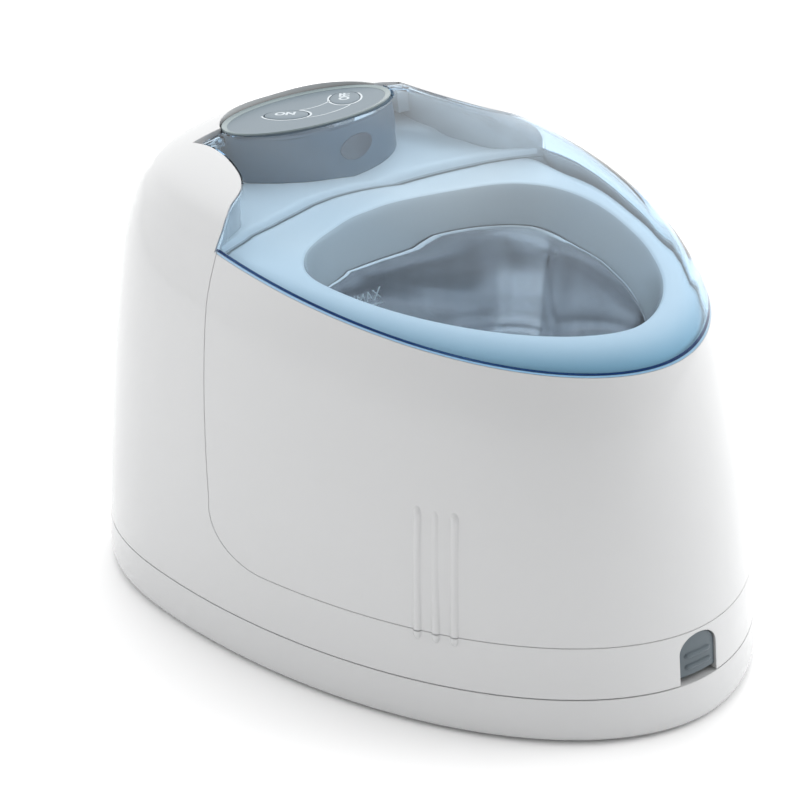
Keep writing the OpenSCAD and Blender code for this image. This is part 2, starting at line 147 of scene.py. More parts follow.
def loft(name, rings):
    """A closed solid through rings with the same number of points."""
    n, m = len(rings[0]), len(rings)
    faces = [[j * n + k, j * n + (k + 1) % n, (j + 1) * n + (k + 1) % n, (j + 1) * n + k]
             for j in range(m - 1) for k in range(n)]
    faces += [list(range(n - 1, -1, -1)), [(m - 1) * n + k for k in range(n)]]
    return fix(mesh(name, np.concatenate(rings), faces))


def fix(o):
    """Turns every face outward."""
    b = bmesh.new()
    b.from_mesh(o.data)
    bmesh.ops.recalc_face_normals(b, faces=b.faces)
    b.to_mesh(o.data)
    b.free()
    return o


def prism(name, plan, low, high, plane="xy"):
    """A plan swept from low to high: along z for an xy plan, along x for yz, along y for xz."""
    p = np.asarray(plan, float)
    n = len(p)
    a, b = np.full(n, float(low)), np.full(n, float(high))
    put = {"xy": lambda h: [p[:, 0], p[:, 1], h], "yz": lambda h: [h, p[:, 0], p[:, 1]],
           "xz": lambda h: [p[:, 0], h, p[:, 1]]}[plane]
    pts = np.concatenate([np.stack(put(a), 1), np.stack(put(b), 1)])
    faces = [[k, (k + 1) % n, n + (k + 1) % n, n + k] for k in range(n)]
    return fix(mesh(name, pts, faces + [list(range(n - 1, -1, -1)), list(range(n, 2 * n))]))


def block(name, x0, x1, y0, y1, z0, z1):
    """A box between two corners."""
    return prism(name, [(x0, y0), (x1, y0), (x1, y1), (x0, y1)], z0, z1)


def circle(cx, cy, rx, ry=None, n=64):
    """A circle's or an oval's plan."""
    u = 2 * math.pi * np.arange(n) / n
    return np.stack([cx + rx * np.cos(u), cy + (ry or rx) * np.sin(u)], 1)


def rod(name, x, y, z0, z1, r):
    """An upright cylinder."""
    return prism(name, circle(x, y, r), z0, z1)


def spun(name, half, at, n=64):
    """A solid of revolution about the x axis through a point: half is a list of (radius, x)."""
    u = 2 * math.pi * np.arange(n) / n
    return loft(name, [np.stack([np.full(n, at[0] + x), at[1] + r * np.cos(u), at[2] + r * np.sin(u)], 1)
                       for r, x in half])


def solid(a, b, how="DIFFERENCE"):
    """a with b taken away, added or kept in common; b is used up."""
    m = a.modifiers.new("solid", "BOOLEAN")
    m.object, m.operation, m.solver = b, how, "EXACT"
    dg = bpy.context.evaluated_depsgraph_get()
    me = bpy.data.meshes.new_from_object(a.evaluated_get(dg))
    a.modifiers.clear()
    a.data = me
    bpy.data.objects.remove(b)
    return a


def cut(a, *bs):
    """a less every other solid."""
    for b in bs:
        a = solid(a, b)
    return a


def keep(a, b):
    """What a and b share."""
    return solid(a, b, "INTERSECT")


def add(a, *bs):
    """a and every other solid as one."""
    for b in bs:
        a = solid(a, b, "UNION")
    return a


def smooth(o, angle=32):
    """Smooth shading, with edges sharper than an angle in degrees left crisp."""
    o.data.shade_smooth()
    o.data.set_sharp_from_angle(angle=math.radians(angle))
    return o


def tilted(o):
    """Moves a piece drawn flat at the origin onto the control panel."""
    o.data.transform(Matrix.Translation(Vector(PANEL) / 1000) @ Matrix.Rotation(-TILT, 4, "X"))
    return o


# ---------------------------------------------------------------- spaces shared by several pieces
def bulge(x):
    """The curved front edge of the casing's deck, as y over x."""
    return 45.5 - 0.0034 * x * x


def dock_spaces(g):
    """The three prisms that make the space the tank unit stands in."""
    corner = [(-7.3 + (23.6 - g) * math.sin(a), 45.5 - (15.7 - g) * math.cos(a))
              for a in np.linspace(0, math.pi / 2, 40)[1:]]
    side = [(-130, SKIRT + g), (-7.3, SKIRT + g)] + corner + [(39.7 - g, 145), (-130, 145)]
    low = [(54 - g, -100.5), (-54 + g, -100.5)]
    low += [(x * (1 - g / 54), bulge(x) - 3 - g) for x in np.linspace(-54, 54, 60)]
    high = [(75, -110.5), (-75, -110.5)] + [(x, bulge(x) - g) for x in np.linspace(-75, 75, 80)]
    return [prism("dock_a", side, -110, 110, "yz"), prism("dock_b", low, 42 + g, 145.5),
            prism("dock_c", high, 104 + g, 146)]


def dock(g):
    """The tank unit's space as one solid, smaller by g all round."""
    return add(*dock_spaces(g))


def rim_plane(up, low=0, high=60):
    """A slab over the lid's lower rim, or from low to high beside it."""
    o = block("over_rim", -110, 110, -160, 160, low, high)
    o.data.transform(Matrix.Translation((0, 0, (RIM_HIGH + up) / 1000))
                     @ Matrix.Rotation(math.atan(RIM_SLOPE), 4, "X"))
    return o


def spline(points, per=12):
    """A smooth line through points, with a number of steps between each two."""
    p = np.array(points, float)
    q = np.vstack([2 * p[0] - p[1], p, 2 * p[-1] - p[-2]])
    out = []
    for a, b, c, d in zip(q, q[1:], q[2:], q[3:]):
        squared, cubed = 2 * a - 5 * b + 4 * c - d, 3 * b - a - 3 * c + d
        out += [0.5 * (2 * b + (c - a) * s + squared * s**2 + cubed * s**3) for s in np.arange(per) / per]
    return np.array(out + [q[-2]])


def shoulders(d):
    """Plan of the lid's shoulders beside the control pod, moved outward by d."""
    p = spline([(80, 32.0), (72, 32.4), (62, 33.2), (58, 35), (54.5, 37.5), (50, 39.7), (47.2, 42),
                (44.2, 46.6), (41.5, 53.6), (39.4, 61.3), (38.5, 69), (39.2, 76.3), (39.6, 80)])
    t = np.gradient(p, axis=0)
    t /= np.linalg.norm(t, axis=1)[:, None]
    p = p + d * np.stack([t[:, 1], -t[:, 0]], 1)
    end = 76.3 + d
    p = np.vstack([p[p[:, 1] < end - 0.1], [np.interp(end, p[-20:, 1], p[-20:, 0]), end]])
    return [(80, -125)] + [tuple(v) for v in p] + [(-x, y) for x, y in p[::-1]] + [(-80, -125)]


def oval_plan(a, b):
    """An oval round the control panel's middle."""
    return circle(0, PANEL[1], a, b, 144)


def cross_rod(x0, x1, r):
    """A cylinder along the hinge line."""
    return spun("cross", [(r, x0), (r, x1)], (0, HINGE[1], HINGE[2]))


def latch_plan(d):
    """The latch's arched outline as (x, z), moved outward by d."""
    r = 6.6 + d
    top = [(r * math.cos(a), 23.4 + (5 + d) * math.sin(a)) for a in np.linspace(0, math.pi, 49)]
    return [(-r, 16.4 - d), (r, 16.4 - d)] + top


# each rib's upper and lower ends in plan, as x, y, x, y
RIBS = [(57.5, -50, 61.2, -55.2), (54.7, -54.3, 58.6, -60), (52.2, -59.3, 55.8, -64.6)]


def ribs(name, z0, z1, soft0, soft1):
    """Three low ribs on each flank; soft0 and soft1 are the lengths over which an end fades away."""
    out = []
    for s in (-1, 1):
        for x0, y0, x1, y1 in RIBS:
            rings = []
            u = 2 * math.pi * np.arange(32) / 32
            for z in steps(z0, z1, 0.5):
                f = (z - 27) / 39
                near = min(1, (z - z0) / soft0 if soft0 else 1, (z1 - z) / soft1 if soft1 else 1)
                k = math.sqrt(max(0.0, 1 - (1 - near) ** 2))
                c = np.array([s * (x1 - (x1 - x0) * f), y1 + (y0 - y1) * f])
                away = np.array([s * 0.79, -0.61])
                c = c - away * (0.2 + 0.6 * (1 - k))
                along = np.array([away[1], -away[0]])
                r = 1.1 * max(k, 0.05)
                p = c + np.outer(np.cos(u) * r * 0.95, away) + np.outer(np.sin(u) * r * 1.1, along)
                rings.append(np.column_stack([p, np.full(32, z)]))
            out.append(loft(name, rings))
    return join(out)


def join(objs):
    """Several objects as one, their meshes side by side."""
    b = bmesh.new()
    for o in objs:
        b.from_mesh(o.data)
    b.to_mesh(objs[0].data)
    b.free()
    for o in objs[1:]:
        bpy.data.objects.remove(o)
    return objs[0]


# ---------------------------------------------------------------- materials
def material(name, colour, rough=0.3, metal=0.0, coat=0.0, bump=0.0, bump_scale=900.0, spec=0.5, edge=0.0,
             tone=0.0, drawn=1.0):
    """A finish with a fine grain: bump is its relief, tone its change of colour, edge the radius that edges
    seem to have, and drawn below 1 stretches the grain upright."""
    m = bpy.data.materials.new(name)
    m.use_nodes = True
    nt = m.node_tree
    s = nt.nodes["Principled BSDF"]
    s.inputs["Base Color"].default_value = (*colour, 1)
    s.inputs["Roughness"].default_value = rough
    s.inputs["Metallic"].default_value = metal
    s.inputs["Coat Weight"].default_value = coat
    s.inputs["Coat Roughness"].default_value = 0.06
    s.inputs["Specular IOR Level"].default_value = spec
    at = nt.nodes.new("ShaderNodeTexCoord")
    noise = nt.nodes.new("ShaderNodeTexNoise")
    noise.inputs["Scale"].default_value = bump_scale
    noise.inputs["Detail"].default_value = 3
    stretch = nt.nodes.new("ShaderNodeMapping")
    stretch.inputs["Scale"].default_value = (1, 1, drawn)
    nt.links.new(at.outputs["Object"], stretch.inputs["Vector"])
    nt.links.new(stretch.outputs["Vector"], noise.inputs["Vector"])
    if tone:
        ramp = nt.nodes.new("ShaderNodeValToRGB")
        ramp.color_ramp.elements[0].color = (*[c * (1 - tone) for c in colour], 1)
        ramp.color_ramp.elements[1].color = (*[min(1, c * (1 + tone)) for c in colour], 1)
        nt.links.new(noise.outputs["Fac"], ramp.inputs["Fac"])
        nt.links.new(ramp.outputs["Color"], s.inputs["Base Color"])
    if bump:
        b = nt.nodes.new("ShaderNodeBump")
        b.inputs["Strength"].default_value = bump
        b.inputs["Distance"].default_value = 0.00005
        nt.links.new(noise.outputs["Fac"], b.inputs["Height"])
        nt.links.new(b.outputs["Normal"], s.inputs["Normal"])
        if edge:
            e = nt.nodes.new("ShaderNodeBevel")
            e.samples = 4
            e.inputs["Radius"].default_value = edge
            nt.links.new(e.outputs["Normal"], b.inputs["Normal"])
    return m


WHITE = material("white_abs", (0.52, 0.525, 0.53), 0.16, coat=0.35, bump=0.02, bump_scale=500, tone=0.006,
                 edge=0.0005)
# a lighter copy of the white plastic: painted light on the decks under the lid
WHITE_PAINTED_LIT = material("white_abs_painted_lit", (0.68, 0.69, 0.70), 0.3, bump=0.02, bump_scale=500, tone=0.006, edge=0.0005)
SLATE = material("slate", (0.078, 0.102, 0.118), 0.34, bump=0.05, bump_scale=2500, tone=0.02, edge=0.0004)
# a bluer copy of the slate for the pod: painted blue cast of the light that reaches it through the lid
SLATE_PAINTED_LID_LIGHT = material("slate_painted_lid_light", (0.062, 0.112, 0.155), 0.34, bump=0.05, bump_scale=2500, tone=0.02, edge=0.0004)
FACE = material("panel_face", (0.143, 0.183, 0.213), 0.42, bump=0.05, bump_scale=2500, tone=0.02, edge=0.0003)
# a lighter copy of the panel's slate for its bevelled rim: painted sheen on the bevel
PANEL_RIM_PAINTED_SHEEN = material("panel_rim", (0.22, 0.27, 0.28), 0.25, bump=0.02, bump_scale=2500, tone=0.02)
INK = material("print_white", (0.50, 0.55, 0.58), 0.5, bump=0.02, tone=0.02)
# strong upright streaks in the steel's tone: partly the drawn steel's grain, partly painted reflection
# streaks
STEEL = material("steel", (0.67, 0.67, 0.69), 0.15, metal=1.0, bump=0.008, bump_scale=160, tone=0.16,
                 drawn=0.02)
MARK = material("mark_steel", (0.82, 0.84, 0.85), 0.45, metal=0.6, bump=0.03, tone=0.02)
BRIGHT = material("bright_metal", (0.75, 0.75, 0.77), 0.18, metal=1.0, bump=0.02, tone=0.02)
ALU = material("aluminium", (0.72, 0.73, 0.74), 0.35, metal=1.0, bump=0.1, bump_scale=1500, tone=0.03)
RUBBER = material("rubber", (0.022, 0.022, 0.024), 0.75, bump=0.3, bump_scale=2500, tone=0.1)
BRASS = material("brass", (0.78, 0.62, 0.28), 0.25, metal=1.0, bump=0.04, tone=0.03)
GREEN = material("circuit_green", (0.03, 0.17, 0.08), 0.4, bump=0.1, bump_scale=1200, tone=0.15)
BLACK = material("black_plastic", (0.018, 0.018, 0.02), 0.42, bump=0.1, bump_scale=1800, tone=0.1)
SLEEVE = material("capacitor_sleeve", (0.04, 0.06, 0.24), 0.3, bump=0.05, tone=0.05)
TAPE = material("transformer_tape", (0.70, 0.50, 0.10), 0.5, bump=0.1, bump_scale=900, tone=0.06)
CERAMIC = material("ceramic", (0.38, 0.33, 0.27), 0.35, bump=0.1, bump_scale=1500, tone=0.06)
WIRE = material("wire", (0.50, 0.05, 0.04), 0.45, bump=0.05, tone=0.05)
DARK = material("lens_dark", (0.03, 0.035, 0.05), 0.1, coat=0.3, bump=0.01, tone=0.05)
LED = material("led", (0.8, 0.85, 0.9), 0.1, bump=0.01, tone=0.02)
# painted highlight and painted shade for the lid's rim: a pale line and a deep navy line on its underside
RIM_PAINTED_HIGHLIGHT = material("rim_painted_highlight", (0.70, 0.80, 0.88), 0.2, bump=0.01, tone=0.02)
RIM_PAINTED_SHADE = material("rim_painted_shade", (0.012, 0.045, 0.13), 0.2, bump=0.01, tone=0.02)


def blue_plastic():
    """The lid's clear blue: light is absorbed along its way through, its colour is painted darker and deeper
    towards the low rim as painted shade, and the lid casts hardly any shadow."""
    m = bpy.data.materials.new("clear_blue")
    m.use_nodes = True
    nt = m.node_tree
    s = nt.nodes["Principled BSDF"]
    s.inputs["Roughness"].default_value = 0.0
    s.inputs["IOR"].default_value = 1.27
    s.inputs["Transmission Weight"].default_value = 1.0
    at, part = nt.nodes.new("ShaderNodeTexCoord"), nt.nodes.new("ShaderNodeSeparateXYZ")
    nt.links.new(at.outputs["Object"], part.inputs[0])
    # painted shade: the lid's base colour turns darker and deeper blue towards its low rim, by height
    height, lid_rim_shade_ramp = nt.nodes.new("ShaderNodeMapRange"), nt.nodes.new("ShaderNodeValToRGB")
    height.inputs["From Min"].default_value = 0.102
    height.inputs["From Max"].default_value = 0.1135
    nt.links.new(part.outputs["Z"], height.inputs["Value"])
    nt.links.new(height.outputs["Result"], lid_rim_shade_ramp.inputs["Fac"])
    lid_rim_shade_ramp.color_ramp.elements[0].color = (0.40, 0.66, 0.76, 1)
    lid_rim_shade_ramp.color_ramp.elements[1].color = (0.94, 0.985, 1.0, 1)
    nt.links.new(lid_rim_shade_ramp.outputs["Color"], s.inputs["Base Color"])
    v = nt.nodes.new("ShaderNodeVolumeAbsorption")
    v.inputs["Color"].default_value = (0.12, 0.52, 0.82, 1)
    v.inputs["Density"].default_value = 110
    out = nt.nodes["Material Output"]
    nt.links.new(v.outputs["Volume"], out.inputs["Volume"])
    clear = nt.nodes.new("ShaderNodeBsdfTransparent")
    clear.inputs["Color"].default_value = (0.95, 0.98, 1.0, 1)
    path, mix = nt.nodes.new("ShaderNodeLightPath"), nt.nodes.new("ShaderNodeMixShader")
    nt.links.new(path.outputs["Is Shadow Ray"], mix.inputs["Fac"])
    nt.links.new(s.outputs["BSDF"], mix.inputs[1])
    nt.links.new(clear.outputs["BSDF"], mix.inputs[2])
    nt.links.new(mix.outputs["Shader"], out.inputs["Surface"])
    return m


BLUE = blue_plastic()


def finish_piece(o, name, mat, body, nodes, angle=32):
    """Names a piece, gives it its finish and says which body it rides on and which nodes it replaces."""
    o.name = name
    o.data.name = name
    o.data.materials.clear()
    o.data.materials.append(mat)
    smooth(o, angle)
    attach(o, body)
    if nodes:
        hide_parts(*nodes)
    return o


def tinted(o, mat, chosen):
    """Gives another material to the faces chosen by their middle, in millimetres, and their normal."""
    o.data.materials.append(mat)
    k = len(o.data.materials) - 1
    for face in o.data.polygons:
        if chosen(face.center * 1000, face.normal):
            face.material_index = k
    return o


# ---------------------------------------------------------------- base unit
# places of the feet, of the pan's screws and of the tank unit's screw posts
FEET = [(-42.5, -66.5), (42.5, -66.5), (-60, 62), (60, 62)]
PAN_SCREWS = [(-26, -74), (26, -74), (-40, 89), (40, 89)]
POSTS = [(-52, -12), (52, -12), (-15.8, -71), (15.8, -71)]


def pan_inset(z):
    """How far the pan's rounded lower edge stands in at a height."""
    return 2.4 * (1 - math.sqrt(max(0.0, 1 - ((7 - z) / 6.1) ** 2))) if z < 7 else 0.0


def base_pan():
    """The bottom moulding, with foot pockets, counterbored screw bosses and vents."""
    zs = [0.9, 0.92, 0.98, 1.1, 1.3, 1.6, 2, 2.5, 3.1, 3.8, 4.6, 5.6, 7, 9, 11, 13, PAN]
    inner_zs = [5, 5.6, 6.4, 7.4, 9, 11, PAN + 1]
    o = loft("pan", [ring(z, pan_inset(z)) for z in zs])
    o = cut(o, loft("pan_in", [ring(z, 2.5 + pan_inset(z - 4.1) * 0.8) for z in inner_zs]))
    o = add(o, *[rod("boss", x, y, 2.6, 13.4, 4) for x, y in PAN_SCREWS])
    o = add(o, block("shelf", -7, 7, -103.2, -97.8, 11, PAN))
    o = cut(o, *[rod("foot", x, y, 0, 3.6, 7.02) for x, y in FEET])
    o = cut(o, *[rod("screw", x, y, 0, 15, 1.6) for x, y in PAN_SCREWS])
    o = cut(o, *[rod("head", x, y, 0, 5, 3.1) for x, y in PAN_SCREWS])
    o = cut(o, *[block("vent", x - 1.2, x + 1.2, 4, 34, 0, 8) for x in range(-24, 25, 8)])
    return finish_piece(o, "base_pan_look", WHITE, "base_unit", ["base_pan"])


def step_round(r):
    """What a rounded front edge takes off the deck before the control pod."""
    rings = []
    for z in steps(CASE_DECK - r, CASE_DECK, 0.2) + [CASE_DECK + 1]:
        d = r - math.sqrt(max(0.0, r * r - (min(z, CASE_DECK) - CASE_DECK + r) ** 2))
        plan = [(62, -20), (-62, -20)]
        plan += [(x, bulge(x) + d * (1 - (x / 63) ** 6) - 0.02) for x in np.linspace(-62, 62, 60)]
        rings.append(np.column_stack([np.array(plan), np.full(len(plan), z)]))
    return loft("step_round", rings)


def rear_casing():
    """The casing behind and below the tank unit, with the deck that the control pod stands on."""
    o = loft("casing", [ring(z) for z in steps(PAN + 0.3, 100, 2.6)[:-1]] + crown(100, 129.2))
    inside = [ring(z, 2.5) for z in steps(12, 100, 2.6)[:-1]] + crown(100, 126.5, 2.5, 0.3)
    o = cut(o, loft("casing_in", inside))
    under = CASE_DECK - 2.6
    floor_plan = add(prism("plan_a", shoulders(2.2), under, 137.8),
                     prism("plan_b", oval_plan(34.5, 24.5), under, 137.8))
    o = add(o, keep(loft("shelf", crown(105, 129.2, 0.4)), floor_plan))
    o = add(o, *[rod("boss", x, 89, 14.6, 26.4, 4) for x in (-40, 40)])
    o = cut(o, *dock_spaces(0), prism("plan_c", shoulders(0), CASE_DECK, 143),
            prism("plan_d", oval_plan(30, 17.5), CASE_DECK, 143.5))
    latch_hole = [(-6.95, 10), (6.95, 10)] + latch_plan(0.35)[2:]
    o = cut(o, prism("latch_hole", latch_hole, -120, -90, "xz"),
            block("inlet_hole", -32.4, -7.6, 90, 120, 19.6, 34.4), rod("wire_hole", 0, 78, 105, 115, 5),
            *[rod("screw", x, 89, 14, 25, 1.48) for x in (-40, 40)])
    o = cut(o, step_round(2.2))
    for x0, x1 in ((-40, -34.2), (34.2, 40)):
        cradle = block("cradle", x0, x1, 70.8, 77.2, 116, HINGE[2] - 0.4)
        o = add(o, cut(cradle, cross_rod(x0 - 3, x1 + 3, 1.06)))
    o = join([o, ribs("rib_low", 26.8, SKIRT - 0.15, 2.2, 0)])
    o = finish_piece(o, "rear_casing_look", WHITE, "base_unit", ["rear_casing"])
    # painted light: the deck's faces and its rounded front edge get the lighter copy of the white
    return tinted(o, WHITE_PAINTED_LIT, lambda at, n: CASE_DECK - 2.5 < at.z < CASE_DECK + 0.05
                  and (n.z > 0.6 or (n.z > 0.05 and abs(at.x) < 60 and at.y < 46)))


def dock_frame():
    """The inner moulding that the tank unit stands in."""
    o = loft("frame", [ring(z, 2.8) for z in [27.2] + steps(31, 109.9, 3)])
    o = keep(o, dock(-2.2))
    o = add(o, *[rod("boss", x, -74, 14.6, 28.5, 4) for x in (-26, 26)])
    o = cut(o, *dock_spaces(0), *[rod("s", x, -74, 14, 25, 1.48) for x in (-26, 26)],
            block("socket", -14.3, 14.3, -22.3, -7.7, 20, 40), block("latch", -10, 10, -120, -91.6, 20, 40))
    return finish_piece(o, "dock_frame_look", WHITE, "base_unit", ["dock_frame"])


def pod_outside():
    """The control pod's outer form as a solid."""
    room = add(prism("room", oval_plan(29.9, 17.4), 110, 140), block("front", -40, 40, 40, 76, 109, 141))
    return keep(loft("pod", [pod(z) for z in steps(112.9, 129, 0.7)]), room)


def pod_inside(t):
    """The room inside the control pod, for a wall of t."""
    return loft("pod_in", [pod(z, t) for z in steps(111.8, 130, 0.9)])


def control_pod():
    over = tilted(block("over", -50, 50, -50, 50, -1.1, 18.9))
    o = cut(pod_outside(), pod_inside(2), over, lens_shape(0.05))
    # the pod wears the bluer slate: painted blue cast of light under the lid
    return finish_piece(o, "control_pod_look", SLATE_PAINTED_LID_LIGHT, "base_unit", ["control_pod"])


def lens_shape(d):
    """The dark oval window as a long plug, grown by d."""
    o = prism("lens", circle(0, 0, 6 + d, 2.8 + d, 72), -6, 6, "xz")
    o.data.transform(Matrix.Translation(Vector(LENS) / 1000) @ Matrix.Rotation(math.radians(-6), 4, "Z"))
    return o


def light_lens():
    face = loft("pod_out", [pod(z, -0.15) for z in steps(112.9, 129, 0.7)])
    o = cut(keep(lens_shape(0), face), pod_inside(2.5))
    return finish_piece(o, "light_lens_look", DARK, "base_unit", ["light_lens"])


# each key's middle on the panel and the turn of its long axis
KEYS = {"on": (-7, 1, -54), "off": (15.2, 0.8, 51)}


def key_oval(key, a, b, first=0, last=360, n=96):
    """Points of an oval, or of a part of it, lined up with a key."""
    x, y, turn = key
    u = np.radians(np.linspace(first, last, n, endpoint=last - first < 360))
    c, d = math.cos(math.radians(turn)), math.sin(math.radians(turn))
    return np.stack([x + a * np.cos(u) * c - b * np.sin(u) * d, y + a * np.cos(u) * d + b * np.sin(u) * c], 1)


def flat_ring(name, outer, inner, z0, z1, drop):
    """A ring between two closed outlines, its top falling by drop towards the inner one."""
    n = len(outer)
    rows = [(outer, z0), (outer, z1 - 0.25), (outer * 0.994, z1), (inner, z1 - drop), (inner, z0)]
    points = np.concatenate([np.column_stack([plan, np.full(n, z)]) for plan, z in rows])
    faces = []
    for j in range(5):
        low, high = j * n, (j + 1) % 5 * n
        faces += [[low + k, low + (k + 1) % n, high + (k + 1) % n, high + k] for k in range(n)]
    return fix(mesh(name, points, faces))


def panel():
    """The panel's face, its raised rim and the two keys."""
    edge = circle(0, 0, 29.5, 17, 144)
    key_holes = [prism("key", key_oval(key, 7.1, 4.9), -3, 3) for key in KEYS.values()]
    o = cut(prism("face", edge, -1, 0.6), *key_holes)
    finish_piece(tilted(o), "panel_overlay_look", FACE, "base_unit", ["panel_overlay"])
    r = flat_ring("rim", edge, circle(0, 0, 27.7, 15.3, 144), 0.4, 1.1, 0.42)
    # the rim wears the lighter slate: painted sheen
    finish_piece(tilted(r), "panel_rim", PANEL_RIM_PAINTED_SHEEN, "base_unit", [], 40)
    profile = [(0, -0.6), (0, 0.55), (0.08, 0.68), (0.25, 0.75), (3, 0.78)]
    for name, key in KEYS.items():
        rings = [np.column_stack([key_oval(key, 6.8 - d, 4.6 - d), np.full(96, z)]) for d, z in profile]
        cap = join([loft("cap", rings), prism("stem", circle(key[0], key[1], 1.6), -4.6, -0.4)])
        finish_piece(tilted(cap), f"key_{name}_look", FACE, f"{name}_key", [f"key_{name}"], 40)


def ribbon(points, width, z):
    """A printed line of a given width along points on the panel."""
    p = np.array(points, float)
    t = np.gradient(p, axis=0)
    t /= np.linalg.norm(t, axis=1)[:, None]
    s = np.stack([-t[:, 1], t[:, 0]], 1) * width / 2
    n = len(p)
    rows = [np.column_stack([q, np.full(n, h)]) for q in (p - s, p + s) for h in (z, z + 0.05)]
    faces = [[a * n + k, a * n + k + 1, b * n + k + 1, b * n + k]
             for a, b in ((0, 1), (1, 3), (3, 2), (2, 0)) for k in range(n - 1)]
    faces += [[0, n, 3 * n, 2 * n], [n - 1, 3 * n - 1, 4 * n - 1, 2 * n - 1]]
    return fix(mesh("line", np.concatenate(rows), faces))


def words(text, height, at, turn, z, thick=0.05, bold=0.0):
    """A word as a mesh, lying flat at a place and turn."""
    c = bpy.data.curves.new(text, "FONT")
    c.body = text
    c.size = height / 1000
    c.align_x, c.align_y = "CENTER", "CENTER"
    c.extrude = thick / 2000
    c.offset = bold / 1000
    o = bpy.data.objects.new(text, c)
    bpy.context.scene.collection.objects.link(o)
    dg = bpy.context.evaluated_depsgraph_get()
    me = bpy.data.meshes.new_from_object(o.evaluated_get(dg))
    bpy.data.objects.remove(o)
    m = bpy.data.objects.new(text, me)
    bpy.context.scene.collection.objects.link(m)
    m.data.transform(Matrix.Translation(Vector((*at, z + thick / 2)) / 1000) @ Matrix.Rotation(turn, 4, "Z"))
    return m


def prints():
    """The keys' words, a crescent round each key and the two lines that join them."""
    upper = [(-1.5, 1.9), (1.2, 0.9), (4.9, 0.7), (8.6, 1.5), (11.2, 2.9)]
    lower = [(-5.2, -5.6), (-3.4, -7.1), (0.7, -8.1), (6, -7.9), (10.2, -6.9), (13, -5.4)]
    lines = [ribbon(key_oval(KEYS["on"], 7.55, 5.35, -165, 70), 0.6, 0.6),
             ribbon(key_oval(KEYS["off"], 7.5, 5.1, 55, 310), 0.6, 0.6),
             ribbon(spline(upper), 0.4, 0.6), ribbon(spline(lower), 0.4, 0.6)]
    finish_piece(tilted(join(lines)), "panel_print", INK, "base_unit", [])
    for text, height, at, turn in (("ON", 4.0, (-6.8, 1.9), -47), ("OFF", 4.3, (15.9, 1.7), 50)):
        o = words(text, height, at, math.radians(turn), 0.78, bold=0.16)
        finish_piece(tilted(o), "print_" + text.lower(), INK, text.lower() + "_key", [])


def latch():
    """The arched latch button with its two rounded grip ribs."""
    o = loft("latch", [ring(z, 0.7) for z in steps(14, 31, 1)])
    o = keep(o, prism("plan", latch_plan(0), -122, -92, "xz"))
    parts = [keep(o, block("front", -20, 20, -121, -98.6, 10, 40))]
    u = 2 * math.pi * np.arange(32) / 32
    for z in (19.0, 22.4):
        rows = []
        for x in steps(-4.8, 4.8, 0.3):
            k = max(0.15, math.sqrt(max(0, 1 - (abs(x) / 4.82) ** 8)))
            y = -103.35 + (z - 19) * 0.135 + 0.0045 * x * x
            rows.append(np.stack([np.full(32, x), y + 0.88 * k * np.cos(u), z + 0.8 * k * np.sin(u)], 1))
        parts.append(loft("grip", rows))
    parts.append(block("back", -5.4, 5.4, -99, -92.6, 16.8, 26.4))
    return finish_piece(join(parts), "latch_button_look", SLATE, "latch", ["latch_button"])


# ---------------------------------------------------------------- tank unit
def front_shell():
    """The tank unit's outer shell, with the ribs' upper parts."""
    zs = steps(SKIRT + 0.15, 100, 2.6)[:-1] + steps(100, 117, 1.2)
    o = loft("shell", [ring(z) for z in [29] + zs])
    o = keep(o, dock(0.15))
    o = cut(o, loft("shell_in", [ring(z, 2.5) for z in [28] + zs + [118]]), rim_plane(0))
    o = join([o, ribs("rib_high", SKIRT + 0.15, 66, 0, 3.2)])
    return finish_piece(o, "front_shell_look", WHITE, "tank_unit", ["front_shell"])


# the tank opening's profile, as height and how far it stands in
LIP = [(96, 3.75), (97.1, 3.6), (100, 2.8), (103, 2.0), (106, 1.2), (108, 0.65), (109, 0.3), (109.5, 0),
       (109.8, -0.3), (109.95, -0.65), (110.05, -1.3)]


def in_mouth(at):
    """Whether a point lies within the tank opening."""
    y = (at.y - 3) / (-74 if at.y < 3 else 29.4)
    e = 1.75 if at.y < 3 else 2.2
    return abs(at.x / 48.5) ** e + y**e < 1.02


def tank_deck():
    """The rounded deck with the funnel down to the tank, a lip over the seal, and four screw posts."""
    profile = [(100, 3), (101.5, 3), (103, 3)]
    profile += [(103 + 7 * math.sin(a), 3 + 5.6 * (1 - math.cos(a)))
                for a in np.linspace(0, math.pi / 2, 14)[1:]]
    o = keep(loft("deck", [ring(z, t) for z, t in profile]), dock(0.3))
    under = [ring(98, 5), ring(103.4, 5), ring(106.6, 7), ring(107.8, 10)]
    o = cut(o, keep(loft("deck_in", under), dock(2.5)))
    o = add(o, loft("funnel", [mouth(97.2, 1.2), mouth(100, 0.6), mouth(104, -0.4), mouth(109, -3)]),
            loft("lip", [mouth(96.12, 2.75), mouth(98, 2.75)]))
    o = add(o, *[rod("post", x, y, 32.35, 106, 3.4) for x, y in POSTS])
    o = cut(o, loft("mouth", [mouth(z, t) for z, t in LIP]))
    o = cut(o, *[rod("screw", x, y, 30, 46, 1.28) for x, y in POSTS])
    # painted light: the deck wears the lighter copy of the white, while the funnel's steeper walls keep the
    # plain white
    o = finish_piece(o, "tank_deck_look", WHITE_PAINTED_LIT, "tank_unit", ["tank_deck"])
    return tinted(o, WHITE, lambda at, n: n.z < 0.75 and at.z < 109.6 and in_mouth(at))


